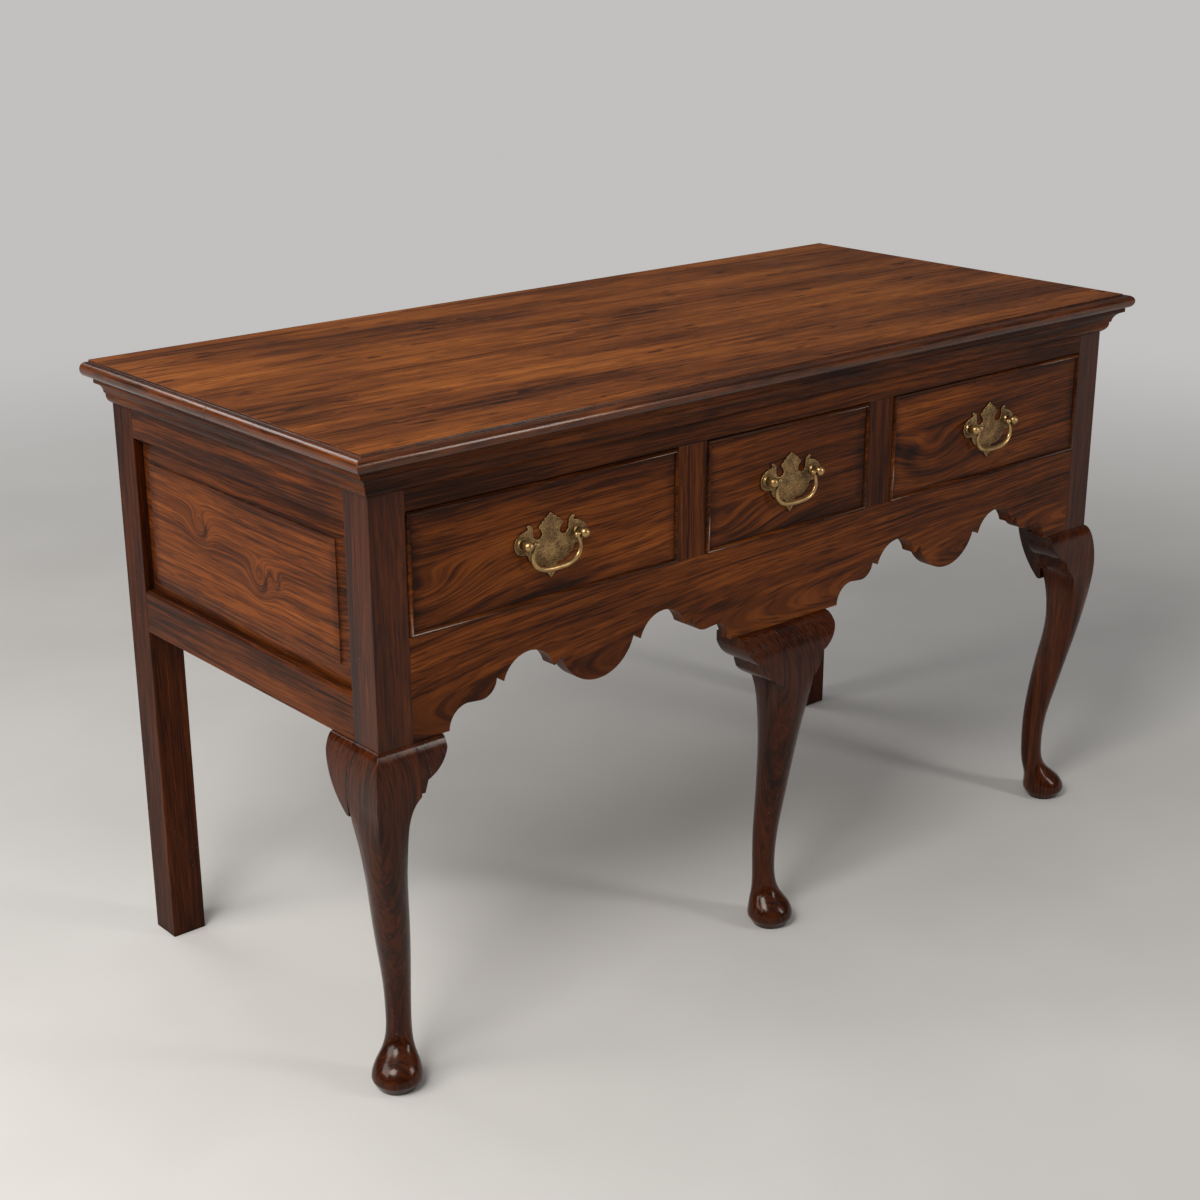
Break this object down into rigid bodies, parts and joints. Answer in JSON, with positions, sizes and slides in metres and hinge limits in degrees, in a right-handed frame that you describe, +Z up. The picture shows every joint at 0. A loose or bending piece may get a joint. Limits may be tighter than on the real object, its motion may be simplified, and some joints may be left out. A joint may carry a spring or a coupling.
{
  "type": "dresser base",
  "caption": "Free-standing dresser base with a moulded top, drawers over a shaped apron, cabriole front legs on pad feet, straight back legs and swinging brass drop handles.",
  "frame": {"origin": "on the floor, under the middle of the top", "axes": "+X to the right of a person facing the drawers, -Y the way the drawers pull out, +Z up"},
  "size_m": [1.43, 0.646, 0.84],
  "materials": {
    "top_wood": "polished, worn, satin gloss",
    "case_wood": "polished dark hardwood",
    "panel_wood": "polished, figured",
    "leg_wood": "polished, darker, worn on the knees",
    "inner_wood": "plain, unpolished",
    "brass": "aged cast brass"
  },
  "bodies": {
    "carcase": {"top_front_board": "top_wood", "top_back_board": "top_wood", "cornice_front": "case_wood", "cornice_left": "case_wood", "cornice_right": "case_wood", "front_leg_left": "leg_wood", "front_leg_right": "leg_wood", "front_leg_centre": "leg_wood", "knee_bracket_left_front": "leg_wood", "knee_bracket_left_side": "leg_wood", "knee_bracket_right_front": "leg_wood", "knee_bracket_right_side": "leg_wood", "knee_bracket_centre_left": "leg_wood", "knee_bracket_centre_right": "leg_wood", "rear_leg_left": "leg_wood", "rear_leg_right": "leg_wood", "side_top_rail_left": "case_wood", "side_top_rail_right": "case_wood", "side_bottom_rail_left": "case_wood", "side_bottom_rail_right": "case_wood", "side_panel_left": "panel_wood", "side_panel_right": "panel_wood", "front_top_rail": "case_wood", "apron": "panel_wood", "muntin_left": "case_wood", "muntin_right": "case_wood", "back_top_rail": "inner_wood", "back_bottom_rail": "inner_wood", "back_boards": "inner_wood", "drawer_runners": "inner_wood", "drawer_kickers": "inner_wood", "drawer_guides": "inner_wood", "drawer_stops": "inner_wood"},
    "drawer_left": {"drawer_left_front": "panel_wood", "drawer_left_cock_bead": "case_wood", "drawer_left_side_left": "inner_wood", "drawer_left_side_right": "inner_wood", "drawer_left_back": "inner_wood", "drawer_left_bottom": "inner_wood", "handle_left_backplate": "brass", "handle_left_posts": "brass"},
    "bail_left": {"handle_left_bail": "brass"},
    "drawer_centre": {"drawer_centre_front": "panel_wood", "drawer_centre_cock_bead": "case_wood", "drawer_centre_side_left": "inner_wood", "drawer_centre_side_right": "inner_wood", "drawer_centre_back": "inner_wood", "drawer_centre_bottom": "inner_wood", "handle_centre_backplate": "brass", "handle_centre_posts": "brass"},
    "bail_centre": {"handle_centre_bail": "brass"},
    "drawer_right": {"drawer_right_front": "panel_wood", "drawer_right_cock_bead": "case_wood", "drawer_right_side_left": "inner_wood", "drawer_right_side_right": "inner_wood", "drawer_right_back": "inner_wood", "drawer_right_bottom": "inner_wood", "handle_right_backplate": "brass", "handle_right_posts": "brass"},
    "bail_right": {"handle_right_bail": "brass"}
  },
  "joints": [
    {"name": "drawer_left_slide", "type": "slide", "parent": "carcase", "child": "drawer_left", "axis": [0, -1, 0], "range_m": [0, 0.42]},
    {"name": "bail_left_hinge", "type": "hinge", "parent": "drawer_left", "child": "bail_left", "pos_m": [-0.4175, -0.301, 0.681], "axis": [-1, 0, 0], "range_deg": [-10, 165]},
    {"name": "drawer_centre_slide", "type": "slide", "parent": "carcase", "child": "drawer_centre", "axis": [0, -1, 0], "range_m": [0, 0.42]},
    {"name": "bail_centre_hinge", "type": "hinge", "parent": "drawer_centre", "child": "bail_centre", "pos_m": [0, -0.301, 0.681], "axis": [-1, 0, 0], "range_deg": [-10, 165]},
    {"name": "drawer_right_slide", "type": "slide", "parent": "carcase", "child": "drawer_right", "axis": [0, -1, 0], "range_m": [0, 0.42]},
    {"name": "bail_right_hinge", "type": "hinge", "parent": "drawer_right", "child": "bail_right", "pos_m": [0.4175, -0.301, 0.681], "axis": [-1, 0, 0], "range_deg": [-10, 165]}
  ]
}
